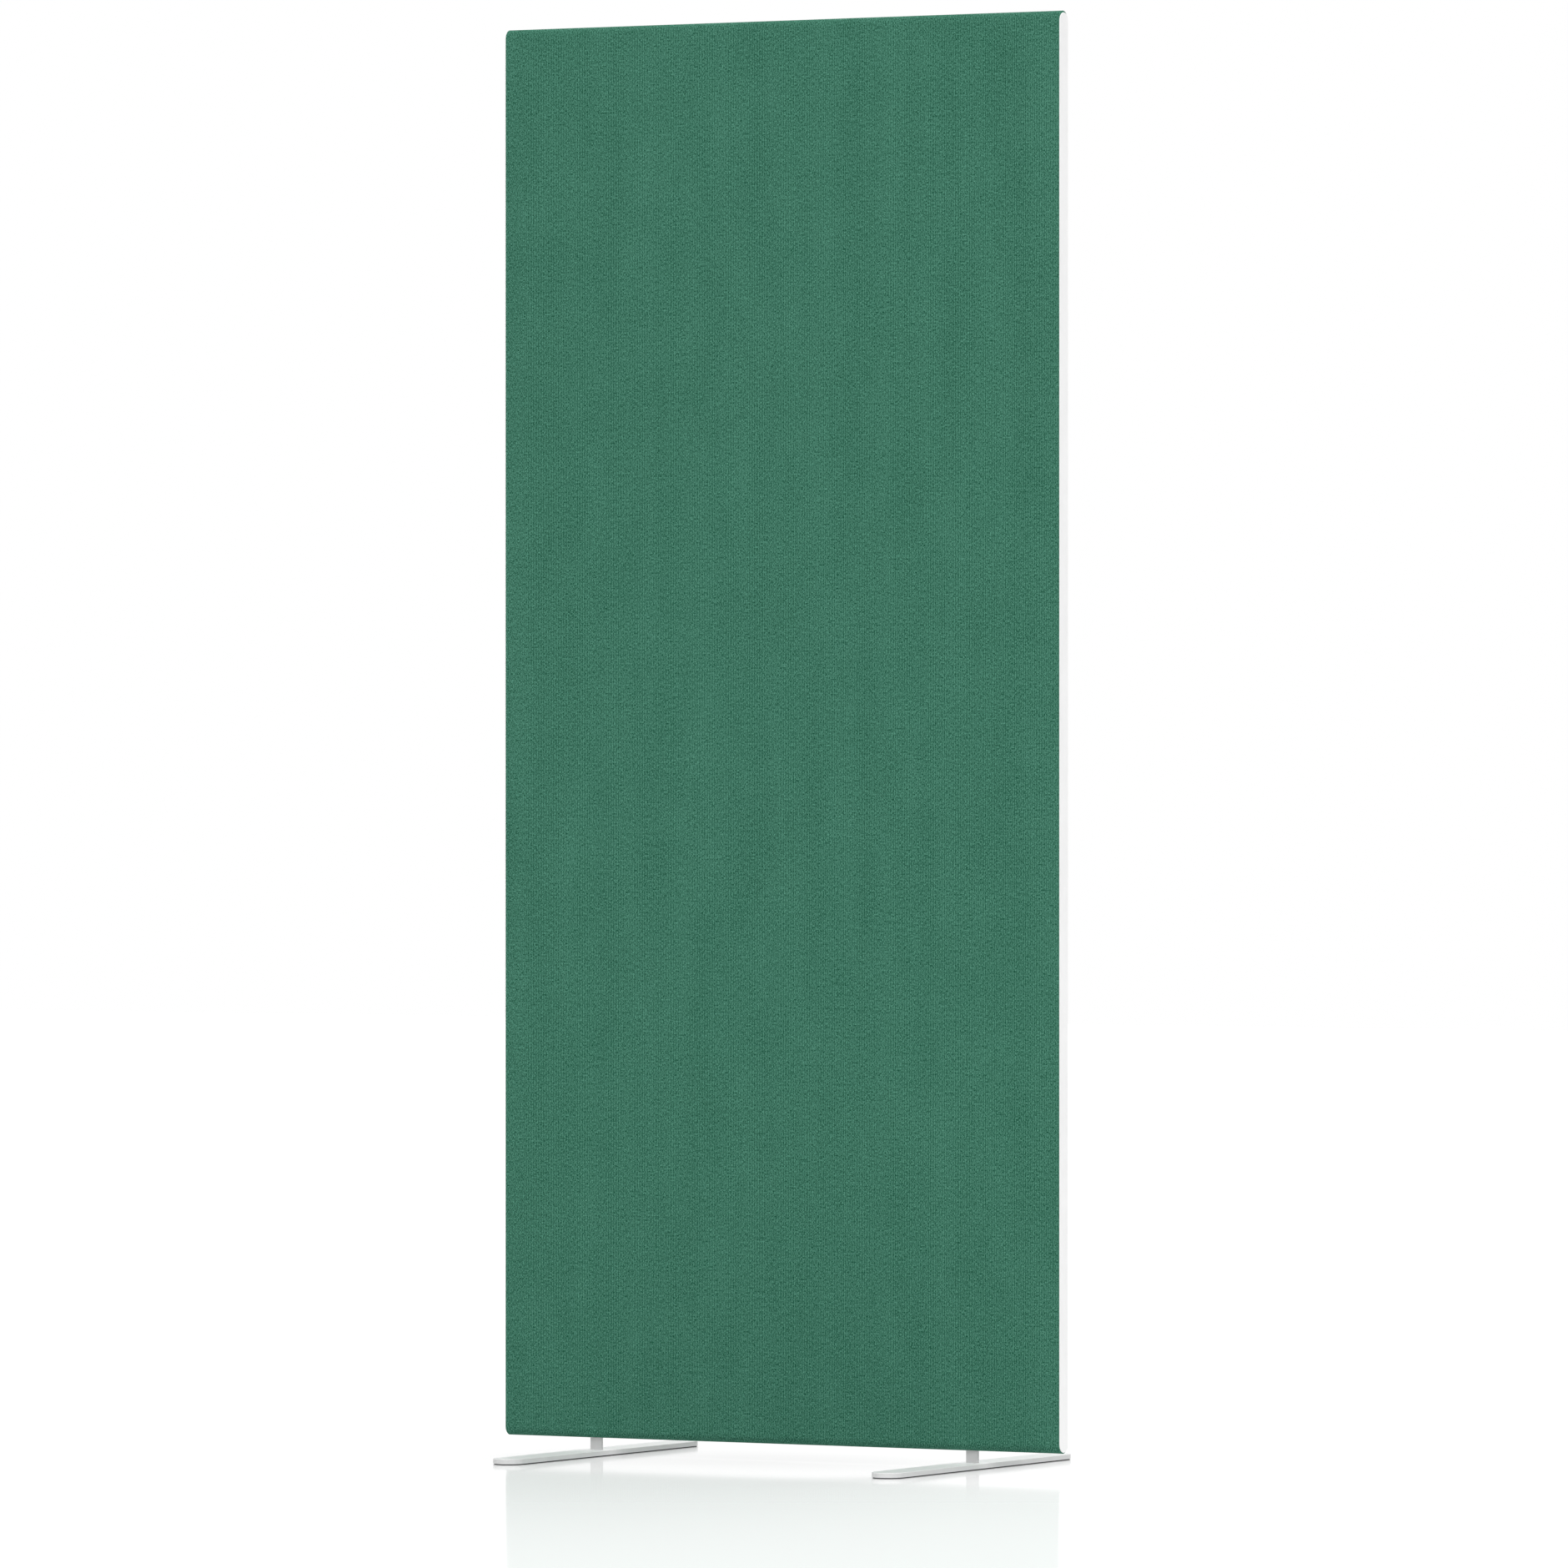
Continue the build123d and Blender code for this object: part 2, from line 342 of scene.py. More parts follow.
def soft_lamp(name, place, aim, size, power, mirrored=True):
    """A square soft lamp that points from its place to its aim, and may be left out of mirrors.

    In words: a lamp shines down its own -Z. It is tipped by the angle between straight down and
    the aim, and turned about Z towards the aim.
    """
    data = bpy.data.lights.new(name, "AREA")
    data.shape = "SQUARE"
    data.size = size
    data.energy = power
    lamp = bpy.data.objects.new(name, data)
    lamp.location = place
    lamp.visible_glossy = mirrored
    ahead_x, ahead_y, ahead_z = np.array(aim) - np.array(place)
    tip = math.atan2(math.hypot(ahead_x, ahead_y), -ahead_z)
    lamp.rotation_euler = (tip, 0, math.atan2(ahead_y, ahead_x) - math.pi / 2)
    bpy.context.scene.collection.objects.link(lamp)


soft_lamp("front_lamp", (3.0, -11.0, 16.0), lower_aim, size=9.0, power=1605)
soft_lamp("rear_lamp", (0.5, 4.5, 9.0), lower_aim, size=5.0, power=400)
soft_lamp("right_lamp", (6.2, -3.0, 1.2), middle_aim, size=3.0, power=80, mirrored=False)

# %% [markdown]
# ## Floor: its sheet
#
# The floor is one large square at the height of the feet's soles. It is stage, not part of the
# screen, and it is wide enough for its far edge to vanish in the white of the room. Its material
# begins with the place on the floor, which the next cells work from.

# %% Floor sheet
floor_half = 20.0
corner_signs = [(-1, -1), (1, -1), (1, 1), (-1, 1)]
corners = [(floor_half * x, floor_half * y, 0.0) for x, y in corner_signs]

floor_mesh = bpy.data.meshes.new("floor")
floor_mesh.from_pydata(corners, [], [(0, 1, 2, 3)])
floor = bpy.data.objects.new("floor", floor_mesh)
bpy.context.scene.collection.objects.link(floor)

floor_material = bpy.data.materials.new("glossy_white_floor")
floor_material.use_nodes = True
floor_mesh.materials.append(floor_material)
tree = floor_material.node_tree
tree.nodes.clear()
place = put(tree, "ShaderNodeSeparateXYZ", Vector=object_place(tree))
print("floor side in m:", 2 * floor_half)

# %% [markdown]
# ## Floor: its shade
#
# The floor is white far from the screen and faintly grey round it. Two bell curves give that shade:
# a wide one, whose middle lies a little to the left, and a close one round the feet. What they leave
# is the level of a glow that the camera and mirrors see. It dims once more within a few millimetres
# of whatever touches the floor, by ambient occlusion.

# %% Floor shade
glow_level = 0.79
wide_shade = 0.165
wide_shade_middle = -0.39
wide_shade_reach = (1.15, 1.62)
close_shade = 0.13
close_shade_middle = 0.0
close_shade_reach = (0.45, 0.22)
contact_reach = 0.006


def soft_spot(middle, reach, depth):
    """A bell curve over the floor, with its middle at X = middle and Y = 0.

    In words: depth times e to the power of minus (x / reach)^2 and minus (y / reach)^2, where x and
    y are counted from that middle and each has a reach of its own.
    """
    squares = []
    for axis, centre, length in zip("XY", (middle, 0.0), reach):
        share = product(tree, math_node(tree, "SUBTRACT", place.outputs[axis], centre), 1 / length)
        squares.append(product(tree, share, share))
    bell = math_node(tree, "EXPONENT", product(tree, total(tree, *squares), -1.0))
    return product(tree, bell, depth)


wide_spot = soft_spot(wide_shade_middle, wide_shade_reach, wide_shade)
close_spot = soft_spot(close_shade_middle, close_shade_reach, close_shade)
bare_level = math_node(tree, "SUBTRACT", glow_level, wide_spot)
bare_level = math_node(tree, "SUBTRACT", bare_level, close_spot)
seen = seen_directly(tree)
contact = put(tree, "ShaderNodeAmbientOcclusion", Distance=contact_reach)
glow_amount = product(tree, contact.outputs["AO"], bare_level, seen)
print("glow by the feet, about:", round(glow_level - wide_shade - close_shade, 3))

# %% [markdown]
# ## Floor: its mirrors
#
# Fresnel's law makes any glossy floor a strong mirror at a flat angle. Two mirrors follow it: a faint
# one all over, which shows the cloth upside down, and a strong one that fades within a few
# centimetres of the feet. The outline of a foot is a bar with round ends, so the distance from it
# is that from the bar's middle line, less the radius of its ends. Both feet share one formula,
# because the sign of X is dropped first.

# %% Floor mirrors
refractive_index = 1.5
mirror_share = 0.48
mirror_blur = 0.085
foot_mirror_share = 0.95
foot_mirror_blur = 0.10
foot_mirror_fade = 0.05

fresnel = put(tree, "ShaderNodeFresnel", IOR=refractive_index).outputs["Fac"]
faint_share = product(tree, fresnel, mirror_share)

foot_low, foot_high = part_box("right_foot_plate")
foot_middle = (foot_low[0] + foot_high[0]) / 2
foot_round = (foot_high[0] - foot_low[0]) / 2
foot_straight = foot_high[1] - foot_round
aside = math_node(tree, "ABSOLUTE", place.outputs["X"])
aside = math_node(tree, "SUBTRACT", aside, foot_middle)
ahead = math_node(tree, "ABSOLUTE", place.outputs["Y"])
beyond = math_node(tree, "MAXIMUM", math_node(tree, "SUBTRACT", ahead, foot_straight))
square = total(tree, product(tree, aside, aside), product(tree, beyond, beyond))
from_foot = math_node(tree, "SUBTRACT", math_node(tree, "SQRT", square), foot_round)
from_foot = math_node(tree, "MAXIMUM", from_foot)
fading = math_node(tree, "EXPONENT", product(tree, from_foot, -1 / foot_mirror_fade))
strong_share = product(tree, fading, foot_mirror_share, fresnel)
print("foot's middle and half width in mm:", round(foot_middle / mm, 1), round(foot_round / mm, 1))

# %% [markdown]
# ## Floor: its shaders joined
#
# For the light that fills the room the floor is a plain pale surface, which throws light back at the
# screen. For the camera and for mirrors that surface is dim and only catches shadows, and the glow
# makes up the rest. The faint mirror is added on top, and the strong one takes over by its share.

# %% Floor shaders
floor_paint = 0.68
shadow_paint = 0.11

paint = put(tree, "ShaderNodeBsdfDiffuse", Color=(floor_paint, floor_paint, floor_paint, 1.0))
shadow = put(tree, "ShaderNodeBsdfDiffuse", Color=(shadow_paint, shadow_paint, shadow_paint, 1.0))
glow = put(tree, "ShaderNodeEmission", Color=full_white, Strength=glow_amount)
faint_mirror = put(tree, "ShaderNodeBsdfGlossy", Color=faint_share, Roughness=mirror_blur)
strong_mirror = put(tree, "ShaderNodeBsdfGlossy", Color=full_white, Roughness=foot_mirror_blur)

surface = join_shaders(tree, "ShaderNodeMixShader", paint.outputs[0], shadow.outputs[0], seen)
surface = join_shaders(tree, "ShaderNodeAddShader", surface, glow.outputs[0])
surface = join_shaders(tree, "ShaderNodeAddShader", surface, faint_mirror.outputs[0])
surface = join_shaders(
    tree, "ShaderNodeMixShader", surface, strong_mirror.outputs[0], strong_share
)
floor_output = tree.nodes.new("ShaderNodeOutputMaterial")
tree.links.new(surface, floor_output.inputs["Surface"])
print("nodes in the floor's material:", len(tree.nodes))

# %% [markdown]
# ## Cloth sleeve: its sizes
#
# The cover is one sleeve of ribbed cloth, pulled taut round the panel. Its ribs run up the front,
# over the round top, down the rear and under the bottom. At each narrow side the cloth turns in and
# is tucked into a groove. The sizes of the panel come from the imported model, so that the sleeve
# meets the strips and the liners without any fitting.

# %% Sleeve sizes from the frame
cover_low, cover_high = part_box("fabric_cover")
cover_half = cover_high[0]
crown = cover_high[1]
straight_low = cover_low[2] + crown
straight_high = cover_high[2] - crown
panel_middle = (straight_low + straight_high) / 2
straight_half = (straight_high - straight_low) / 2
frame_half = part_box("top_rail")[1][0]
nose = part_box("rear_liner")[1][1]

groove_half = 2.5 * mm
tuck_half = 1.5 * mm
tuck_depth = 8.0 * mm
corner_round = 0.6 * mm
mouth_round = cover_half - frame_half
print("panel thickness in mm:", round(2 * crown / mm, 2))
print("cloth thickness in mm:", round((crown - nose) / mm, 2))

# %% [markdown]
# ## Cloth sleeve: across the panel
#
# A surface needs two parameters. The first is the distance across the cloth, measured from the
# middle of the panel: along the flat face, round a tight corner, over the rim of the narrow side,
# into the groove's mouth and down the groove. It gives two numbers, how far out the cloth lies
# along X, and how far from the middle of the panel's thickness.

# %% Across the cloth
side_rim = crown - corner_round - tuck_half - mouth_round
quarter_turn = math.pi / 2
stretches = [
    cover_half - corner_round,
    corner_round * quarter_turn,
    side_rim,
    mouth_round * quarter_turn,
    tuck_depth,
]
stretch_ends = np.cumsum(stretches)


def across(steps):
    """Follow the cloth from the middle of the panel to both sides.

    The input is the distance across. In words: straight along the face, a quarter circle of the
    corner's radius, straight over the rim, a quarter circle into the groove, straight down it.
    The outputs are the place along X, the half thickness there, and the outward direction of both.
    """
    far = np.abs(steps)
    face, bend, rim, mouth, _ = stretch_ends
    turn = (far - face) / corner_round
    dive = (far - rim) / mouth_round
    on = [far <= face, far <= bend, far <= rim, far <= mouth]
    flat = np.ones_like(far)
    none = np.zeros_like(far)
    outward_x = np.select(on, [none, np.sin(turn), flat, np.cos(dive)], none)
    outward_r = np.select(on, [flat, np.cos(turn), none, -np.sin(dive)], -flat)
    places = [
        far,
        face + corner_round * np.sin(turn),
        cover_half * flat,
        frame_half + mouth_round * np.cos(dive),
    ]
    reaches = [
        crown * flat,
        crown - corner_round * (1 - np.cos(turn)),
        crown - corner_round - (far - bend),
        tuck_half + mouth_round * (1 - np.sin(dive)),
    ]
    place = np.select(on, places, frame_half - (far - mouth))
    reach = np.select(on, reaches, tuck_half * flat)
    side = np.sign(steps)
    return side * place, reach, side * outward_x, outward_r


cloth_half = float(stretch_ends[-1])
print("cloth width in mm, laid flat:", round(2 * cloth_half / mm, 1))

# %% [markdown]
# ## Cloth sleeve: the ribs
#
# Each rib is a rounded ridge about 2.5 mm wide between narrow valleys. Real ribs aren't exactly
# alike, so their widths differ by up to 12 percent. A seeded random generator draws them, so that
# they come out the same each time. The height of the ridge is the root of a sine, which gives a
# broad crest and a sharp valley.

# %% Ribs
rib_pitch = 2.5 * mm
rib_relief = 0.35 * mm
rib_steps = 4
rib_unevenness = 0.06
widest_draw = 2
rib_seed = 7

rng = np.random.default_rng(rib_seed)
rib_count = round(2 * cloth_half / rib_pitch)
draws = rng.standard_normal(rib_count).clip(-widest_draw, widest_draw)
rib_edges = np.concatenate([[0.0], np.cumsum(1 + rib_unevenness * draws)])
rib_edges = (rib_edges / rib_edges[-1] * 2 - 1) * cloth_half
rib_widths = np.diff(rib_edges)


def ridge_height(steps):
    """Height of the rib surface from 0 in a valley to 1 on a crest: the root of a half sine."""
    rib_phase = np.interp(steps, rib_edges, np.arange(rib_count + 1)) % 1.0
    return np.sqrt(np.sin(np.pi * rib_phase).clip(0, 1))


rib_share = np.linspace(0, 1, rib_steps, endpoint=False)
rib_samples = (rib_edges[:-1, None] + rib_widths[:, None] * rib_share).ravel()
narrowest, widest = rib_widths.min() / mm, rib_widths.max() / mm
print("ribs:", rib_count, "from", round(narrowest, 2), "to", round(widest, 2), "mm")

# %% [markdown]
# ## Cloth sleeve: round the panel
#
# The second parameter runs round the panel's section: from the closing seam under the bottom edge,
# up the front, over the top, down the rear and back under. Each row holds a direction away from the
# middle line and a share of the straight height. The slits for the feet need rows at their edges.

# %% Round the panel
slit_room = 0.4 * mm
upright_low, upright_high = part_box("right_foot_upright")
slit_half_length = (upright_high[0] - upright_low[0]) / 2 + slit_room
slit_half_width = upright_high[1] + slit_room
seam_half = 1.2 * mm
seam_sink = 0.35 * mm
arc_steps = 12
face_steps = 5

slit_turn = math.asin(slit_half_width / crown)
quarter = np.linspace(0, quarter_turn, arc_steps // 2 + 1)[2:]
under = np.concatenate([[0.0, math.asin(seam_half / crown), slit_turn], quarter])
under_back = under[:0:-1]
half_turn = np.linspace(0, math.pi, arc_steps + 1)
up_share = np.linspace(-1, 1, face_steps + 1)[1:-1]
level = np.zeros_like(up_share)
one = np.ones_like(up_share)
top_share = np.ones_like(half_turn)

row_y = [-np.sin(under), -one, -np.cos(half_turn), one, np.sin(under_back)]
row_z = [-np.cos(under), level, np.sin(half_turn), level, -np.cos(under_back)]
row_share = [-np.ones_like(under), up_share, top_share, up_share[::-1], -np.ones_like(under_back)]
row_y, row_z, row_share = (np.concatenate(parts) for parts in (row_y, row_z, row_share))
row_count = len(row_y)
row_seam = np.zeros(row_count)
row_seam[0] = seam_sink
print("rows round the panel:", row_count)

# %% [markdown]
# ## Cloth sleeve: its columns
#
# The columns of the grid are places across the cloth. Most of them sample the ribs, a few to each.
# More are set close together where the cloth bends, and some fall on the edges of the slits. All
# are rounded to a micron, so that doubles merge and the slits' edges can be found again.

# %% Sleeve columns
corner_columns = 5
mouth_columns = 4
micron_digits = 6


def middle_of(node):
    """The middle of a CAD piece along X."""
    low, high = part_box(node)
    return (low[0] + high[0]) / 2


foot_places = [middle_of("left_foot_upright"), middle_of("right_foot_upright")]
slit_ends = (-slit_half_length, slit_half_length)
slit_edges = np.array([[place + end for end in slit_ends] for place in foot_places])
slit_edges = np.round(slit_edges, micron_digits)
face, bend, rim, mouth, edge = stretch_ends
corner_bends = np.linspace(face, bend, corner_columns)
mouth_bends = np.linspace(rim, mouth, mouth_columns)
bends = np.concatenate([corner_bends, mouth_bends, [edge]])
steps = np.concatenate([rib_samples, slit_edges.ravel(), bends, -bends])
steps = np.unique(np.round(steps, micron_digits))
column_count = len(steps)
print("columns across the cloth:", column_count)

# %% [markdown]
# ## Cloth sleeve: its two sides
#
# The two parameters meet in a grid. The outer side follows the ribs. The inner side is the outer one
# pressed onto the frame, so it lies flat on the liners and the timber.

# %% Sleeve grid
place_x, reach, outward_x, outward_r = across(steps)
sunk = rib_relief * (1 - ridge_height(steps))
on_face = np.abs(steps) < face
pressed_reach = reach.clip(groove_half, nose)
shorter = groove_half * (nose - pressed_reach) / (nose - groove_half)
half_line = (straight_half - shorter)[:, None]


def round_panel(x, radius):
    """Carry points across the cloth round the panel, one row of the section after another.

    In words: each row starts on the line between the two round ends of the section and goes out
    by the radius. That line gets shorter towards the groove, so the tucked edge stays in it.
    """
    grid_x = np.repeat(x[:, None], row_count, axis=1)
    grid_y = radius * row_y
    grid_z = panel_middle + half_line * row_share + radius * row_z
    return np.stack([grid_x, grid_y, grid_z], axis=2).reshape(-1, 3)


outer_reach = (reach - outward_r * sunk)[:, None] - row_seam * on_face[:, None]
outer = round_panel(place_x - outward_x * sunk, outer_reach)
inner = round_panel(place_x.clip(-frame_half, frame_half), pressed_reach[:, None])
print("grid:", column_count, "columns by", row_count, "rows")

# %% [markdown]
# ## Cloth sleeve: its faces
#
# Four neighbouring points of the grid make a face, except inside the two slits, where faces are left
# out. The inner side has the same faces the other way round, because it is seen from within.

# %% Sleeve faces
slit_row = 2
rows = np.arange(row_count)
slit_columns = [np.flatnonzero(np.isin(steps, pair)) for pair in slit_edges]
in_slit = np.zeros(column_count - 1, dtype=bool)
for first, last in slit_columns:
    in_slit[first:last] = True
by_seam = (rows >= row_count - slit_row) | (rows < slit_row)
column, row = np.nonzero(~(in_slit[:, None] & by_seam))


def corner_index(at_column, at_row):
    """The vertex number of a grid point on the outer side. Rows wrap round the panel."""
    return at_column * row_count + at_row % row_count


face_columns = np.stack([column, column + 1, column + 1, column], axis=1)
face_rows = np.stack([row, row, row + 1, row + 1], axis=1)
outer_faces = corner_index(face_columns, face_rows)
shift = column_count * row_count
inner_faces = outer_faces[:, ::-1] + shift
print("faces on each side:", len(outer_faces))

# %% [markdown]
# ## Cloth sleeve: its walls
#
# Narrow walls join the two sides of the cloth along its tucked edges and round the slits, which
# makes it one closed piece. Each wall follows a path of outer points, with the inner ones below.

# %% Sleeve walls


def wall(path):
    """Quads from a path of outer vertices down to the inner ones below them."""
    start, end = path[:-1], path[1:]
    return np.stack([start, end, end + shift, start + shift], axis=1)


around = np.arange(row_count + 1)
walls = [wall(corner_index(0, around)), wall(corner_index(column_count - 1, around[::-1]))]
slit_rows = np.arange(row_count - slit_row, row_count + slit_row + 1)
for first, last in slit_columns:
    along = np.arange(first, last + 1)
    path = [
        corner_index(along, slit_rows[0])[:-1],
        corner_index(last, slit_rows)[:-1],
        corner_index(along[::-1], slit_rows[-1])[:-1],
        corner_index(first, slit_rows[::-1]),
    ]
    walls.append(wall(np.concatenate(path)))
faces = np.concatenate([outer_faces, inner_faces, *walls])
print("faces:", len(faces), "triangles:", 2 * len(faces))

# %% [markdown]
# ## Cloth sleeve: the mesh
#
# Whole arrays go into the mesh at once with foreach_set, which is far quicker than one vertex after
# another. Grid points inside the slits belong to no face and are left out first. Smooth shading
# rounds the ribs, and the angle keeps the walls' edges sharp.

# %% Sleeve object
smooth_degrees = 60


def mesh_object(name, points, faces):
    """Make a mesh of quads from two arrays, smooth it where it bends gently, and link it."""
    mesh = bpy.data.meshes.new(name)
    mesh.vertices.add(len(points))
    mesh.vertices.foreach_set("co", points.astype(np.float32).ravel())
    mesh.loops.add(faces.size)
    mesh.loops.foreach_set("vertex_index", faces.ravel().astype(np.int32))
    starts = np.arange(0, faces.size, faces.shape[1], dtype=np.int32)
    mesh.polygons.add(len(faces))
    mesh.polygons.foreach_set("loop_start", starts)
    mesh.update(calc_edges=True)
    mesh.validate()
    mesh.polygons.foreach_set("use_smooth", np.ones(len(mesh.polygons), dtype=bool))
    mesh.set_sharp_from_angle(angle=math.radians(smooth_degrees))
    piece = bpy.data.objects.new(name, mesh)
    bpy.context.scene.collection.objects.link(piece)
    return piece


points = np.concatenate([outer, inner])
used = np.unique(faces)
renumber = np.zeros(len(points), dtype=np.int64)
renumber[used] = np.arange(len(used))
sleeve = mesh_object("fabric_sleeve", points[used], renumber[faces])
print("vertices of the sleeve:", len(used))

# %% [markdown]
# ## Cloth sleeve: its own map
#
# A pattern on cloth has to follow the cloth round every bend. A map on the mesh gives each point its
# place on the cloth laid flat, in metres across and along. A second value, one for each vertex, says
# how high the rib is there, so that the finish can paint shade into the valleys.

# %% Sleeve map
section_y = crown * row_y
section_z = straight_half * row_share + crown * row_z
length_y = np.roll(section_y, -1) - section_y
length_z = np.roll(section_z, -1) - section_z
run = np.concatenate([[0.0], np.cumsum(np.hypot(length_y, length_z))])

outer_map = np.stack([steps[face_columns], run[face_rows]], axis=2)
inner_map = outer_map[:, ::-1]
wall_map = np.zeros((len(faces) - 2 * len(outer_faces), 4, 2))
flat_map = np.concatenate([outer_map, inner_map, wall_map]).astype(np.float32)
sleeve.data.uv_layers.new(name="cloth").uv.foreach_set("vector", flat_map.ravel())

ridge_values = np.tile(np.repeat(ridge_height(steps), row_count), 2)[used]
ridge = sleeve.data.attributes.new("ridge", "FLOAT", "POINT")
ridge.data.foreach_set("value", ridge_values.astype(np.float32))

# %% [markdown]
# ## Cloth: its colour
#
# The cloth is a green ribbed felt. Seen close, it is a tangle of lighter and darker fibres that
# gather in small tufts, and the valleys between the ribs get a painted shade. Seen from afar, broad
# faint streaks and clouds remain. One noise for each of these sizes adds to a share that mixes a dark
# and a light green.
# Every size is given across the ribs and along them.

# %% Cloth colour
fibre_dark = colour(14, 71, 51)
fibre_light = colour(90, 148, 127)
fibre_size = (0.75 * mm, 2.1 * mm, 1.0)
tuft_size = (2.0 * mm, 4.5 * mm, 1.0)
yarn_size = (2.5 * mm, 40 * mm, 1.0)
streak_size = (45 * mm, 500 * mm, 1.0)
cloud_size = (70 * mm, 90 * mm, 1.0)
valley_level = 0.76
painted_valley_shade = 0.7

cloth, tree, shader = fresh_material("ribbed_green_cloth")
cloth_place = put(tree, "ShaderNodeUVMap", {"uv_map": "cloth"}).outputs["UV"]
fibres = grain(tree, cloth_place, fibre_size, detail=2.0, roughness=0.8)
tufts = grain(tree, cloth_place, tuft_size, detail=1.0)
yarn_tone = grain(tree, cloth_place, yarn_size, detail=1.0)
streaks = grain(tree, cloth_place, streak_size, detail=2.0)
clouds = grain(tree, cloth_place, cloud_size, detail=3.0)
ridge_level = put(tree, "ShaderNodeAttribute", {"attribute_name": "ridge"}).outputs["Fac"]
above_valley = math_node(tree, "SUBTRACT", ridge_level, valley_level)

light_share = total(
    tree,
    spread(tree, fibres, -0.5, 1.5),
    spread(tree, yarn_tone, -0.04, 0.04),
    spread(tree, tufts, -0.2, 0.2),
    spread(tree, streaks, -0.042, 0.042),
    spread(tree, clouds, -0.038, 0.038),
    # Painted shade: the valleys between the ribs are darkened.
    product(tree, above_valley, painted_valley_shade),
)
cloth_tone = blend_colours(tree, light_share, fibre_dark, fibre_light)
print("nodes for the cloth's colour:", len(tree.nodes))

# %% [markdown]
# ## Cloth: its fuzz
#
# Loose fibre ends make the cloth quite dull. A fine bump roughens it, the gloss is almost taken
# away, and a little sheen gives the pale edge that fuzzy cloth shows where it turns away. The
# sleeve then takes the place of the CAD's plain cover.

# %% Cloth fuzz
fuzz_size = (0.6 * mm, 2.0 * mm, 1.0)

fuzz = grain(tree, cloth_place, fuzz_size, detail=3.0, roughness=0.7)
coat(tree, shader, cloth_tone, spread(tree, fuzz, 0.85, 1.0), fuzz, strength=0.5, depth=0.25 * mm)
shader.inputs["Specular IOR Level"].default_value = 0.05
shader.inputs["Sheen Weight"].default_value = 0.05
shader.inputs["Sheen Roughness"].default_value = 0.45
shader.inputs["Sheen Tint"].default_value = colour(170, 205, 190)

sleeve.data.materials.append(cloth)
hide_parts("fabric_cover")
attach(sleeve, "root")

# %% [markdown]
# ## Edge strips
#
# The edge strips are white plastic, drawn out lengthwise through a die, so they carry very fine lines
# along their length. Noise with blobs 400 mm long and 0.6 mm wide gives those lines. The strips'
# shape is right in the CAD model, so only their material changes.

# %% Plastic strip finish


def dress(material, *names):
    """Give a material to the CAD pieces of these names."""
    for name in names:
        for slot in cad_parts[name].material_slots:
            slot.material = material


def cube(size):
    """The same size along all three axes."""
    return (size, size, size)


plastic, tree, shader = fresh_material("drawn_white_plastic")
where = object_place(tree)
lines = grain(tree, where, (0.6 * mm, 0.6 * mm, 400 * mm), detail=3.0)
haze = spread(tree, grain(tree, where, (30 * mm, 30 * mm, 90 * mm), detail=3.0), 0.0, 1.0)
tone = blend_colours(tree, haze, grey(240), grey(245))
coat(tree, shader, tone, spread(tree, lines, 0.34, 0.5), lines, strength=0.25, depth=0.04 * mm)
dress(plastic, "left_edge_strip", "right_edge_strip")
print("dressed:", plastic.name)

# %% [markdown]
# ## Feet
#
# The feet are powder-coated steel, and such a coat has the gentle dimples of orange peel. The
# plates' top faces get a painted highlight: a paler tone that the surface's own direction mixes in,
# more the more a face looks up. The uprights and their welds wear the same coat, made a darker grey
# as painted shade from the panel above them.

# %% Powder coats
peel_size = 1.6 * mm
haze_size = 40 * mm
coat_gloss = 0.4


def powder_coat(name, tones, roughness, painted_highlight_tones=None):
    """A faintly clouded coat with dimples, and a painted highlight where the surface looks up."""
    material, tree, shader = fresh_material(name)
    where = object_place(tree)
    peel = grain(tree, where, cube(peel_size), detail=2.0)
    haze = spread(tree, grain(tree, where, cube(haze_size), detail=4.0), 0.0, 1.0)
    tone = blend_colours(tree, haze, *(grey(level) for level in tones))
    if painted_highlight_tones:
        # Painted highlight: a paler tone on faces that look up, standing in for the light from above.
        direction = tree.nodes.new("ShaderNodeTexCoord").outputs["Normal"]
        upward = put(tree, "ShaderNodeSeparateXYZ", Vector=direction).outputs["Z"]
        painted_highlight = blend_colours(tree, haze, *(grey(level) for level in painted_highlight_tones))
        tone = blend_colours(tree, math_node(tree, "MAXIMUM", upward), tone, painted_highlight)
    coat(tree, shader, tone, spread(tree, peel, *roughness), peel, strength=0.35, depth=0.12 * mm)
    shader.inputs["Specular IOR Level"].default_value = coat_gloss
    return material


white_coat = powder_coat("white_powder_coat", (217, 222), (0.36, 0.46), painted_highlight_tones=(250, 254))
# The uprights' darker grey is painted shade: the plates' coat, darkened for the panel overhead.
shade_darkened_coat = powder_coat("shade_darkened_powder_coat", (188, 193), (0.3, 0.4))
dress(white_coat, "left_foot_plate", "right_foot_plate")
dress(shade_darkened_coat, "left_foot_upright", "right_foot_upright", "left_foot_weld", "right_foot_weld")
print("dressed:", white_coat.name, shade_darkened_coat.name)

# %% [markdown]
# ## Pads
#
# Under each foot lies a thin black rubber pad, which keeps the steel off the floor. Only its edge
# shows, as a dark line. Rubber is dull, with pores under a millimetre wide.

# %% Rubber finish
rubber, tree, shader = fresh_material("black_rubber")
pores = grain(tree, object_place(tree), cube(0.8 * mm), detail=3.0)
tone = blend_colours(tree, spread(tree, pores, 0.0, 1.0), grey(24), grey(40))
coat(tree, shader, tone, spread(tree, pores, 0.7, 0.85), pores, strength=0.3, depth=0.1 * mm)
dress(rubber, "left_foot_pad", "right_foot_pad")
print("dressed:", rubber.name)

# %% [markdown]
# ## Hidden timber
#
# Inside are a pine frame and beech dowels. Nobody sees them here, but the part may be cut open or
# taken apart later, so each gets a finish of its own. Wood grain is noise that is long in the
# direction of the timber. Folding its values to and fro makes growth rings of it.

# %% Wood
ring_count = 6.0
ring_share = 0.8
pore_share = 0.2
pores_in_ring = 8


